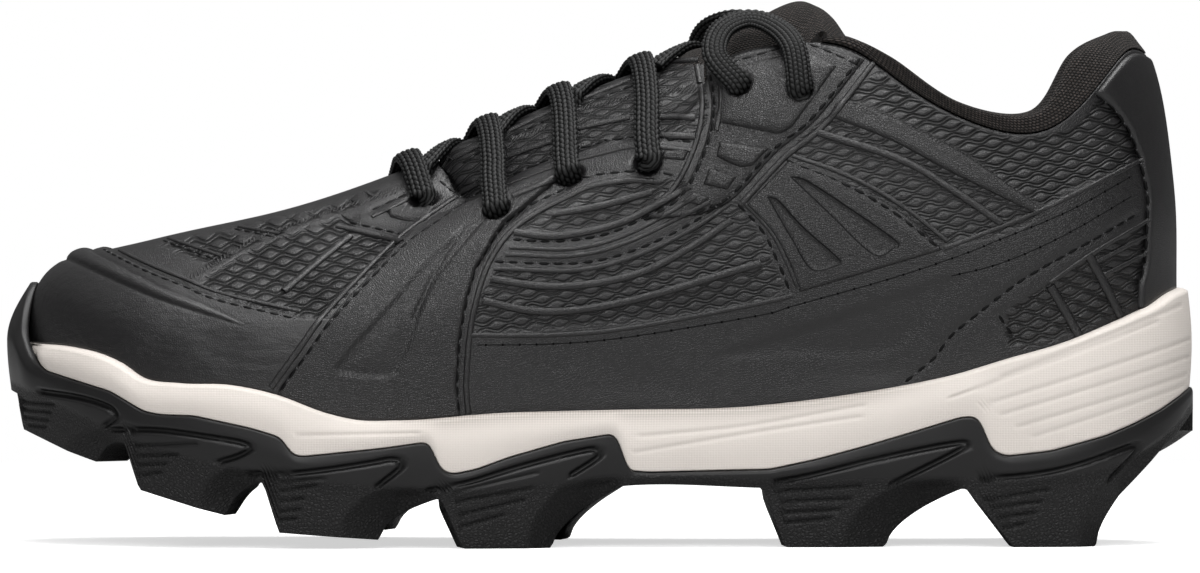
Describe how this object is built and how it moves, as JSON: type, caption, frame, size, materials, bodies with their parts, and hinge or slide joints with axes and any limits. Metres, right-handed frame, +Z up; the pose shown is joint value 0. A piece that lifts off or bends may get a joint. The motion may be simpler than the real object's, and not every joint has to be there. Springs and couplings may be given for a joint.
{
  "type": "softball cleat",
  "caption": "Low-cut softball cleat for the left foot: hollow embossed upper with padded collar and laced tongue on a foam midsole and a studded rubber outsole.",
  "frame": {"origin": "middle of the shoe's box in plan, on the floor that the studs stand on", "axes": "+Z up, -X to the toe, +X to the heel, -Y to the outer (lateral) side of the left foot"},
  "size_m": [0.28, 0.0999, 0.1277],
  "materials": {
    "outsole_rubber": "matt moulded rubber, smooth plate and grained studs",
    "midsole_foam": "matt moulded foam with shallow grooves",
    "insole_fabric": "matt knit",
    "upper_synthetic": "satin embossed synthetic",
    "overlay_synthetic": "satin fine-grained synthetic",
    "collar_knit": "matt knit mesh over foam",
    "tongue_synthetic": "satin synthetic with a knit top",
    "lace_braid": "matt braid"
  },
  "bodies": {
    "root": {"outsole": "outsole_rubber", "midsole": "midsole_foam", "insole": "insole_fabric", "upper": "upper_synthetic", "toe_cap": "overlay_synthetic", "heel_counter": "overlay_synthetic", "wing_lateral": "overlay_synthetic", "wing_medial": "overlay_synthetic", "eyelet_panel_lateral": "overlay_synthetic", "eyelet_panel_medial": "overlay_synthetic", "collar": "collar_knit", "tongue": "tongue_synthetic", "lace_bar": "lace_braid", "lace_crossing_1": "lace_braid", "lace_crossing_2": "lace_braid", "lace_crossing_3": "lace_braid", "lace_loop_lateral": "lace_braid", "lace_loop_medial": "lace_braid"}
  },
  "joints": []
}
